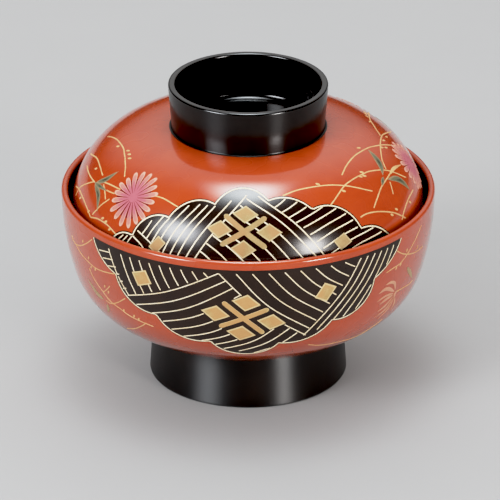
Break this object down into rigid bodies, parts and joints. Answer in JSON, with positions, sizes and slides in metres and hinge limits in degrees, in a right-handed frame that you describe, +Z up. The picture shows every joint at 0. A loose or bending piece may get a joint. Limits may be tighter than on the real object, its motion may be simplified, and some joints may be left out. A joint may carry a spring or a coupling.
{
  "type": "lidded soup bowl",
  "caption": "Round lacquered wooden soup bowl on a ring foot, with a domed drop-in lid that lifts off by its ring grip.",
  "frame": {"origin": "on the axis, at the level of the foot's underside, where the bowl stands on the table", "axes": "+Z up along the turning axis, -Y towards the front cloud panel, +X to its right"},
  "size_m": [0.121, 0.121, 0.101],
  "materials": {
    "turned_wood": "bare, fine-grained turned wood",
    "vermilion_lacquer": "polished vermilion lacquer",
    "black_lacquer": "polished black lacquer",
    "gold_work": "sprinkled gold powder lines and gold leaf squares",
    "pink_lacquer": "pink lacquer paint on the petals",
    "green_lacquer": "grey-green lacquer paint on the leaves"
  },
  "bodies": {
    "bowl": {"bowl_core": "turned_wood", "foot_ring": "turned_wood", "bowl_outside_lacquer": "vermilion_lacquer", "bowl_inside_lacquer": "black_lacquer", "foot_lacquer": "black_lacquer"},
    "lid": {"lid_core": "turned_wood", "grip_ring": "turned_wood", "lid_outside_lacquer": "vermilion_lacquer", "lid_inside_lacquer": "black_lacquer", "grip_lacquer": "black_lacquer"}
  },
  "joints": [
    {"name": "lid_lift", "type": "slide", "parent": "bowl", "child": "lid", "axis": [0, 0, 1], "range_m": [0, 0.08]}
  ]
}
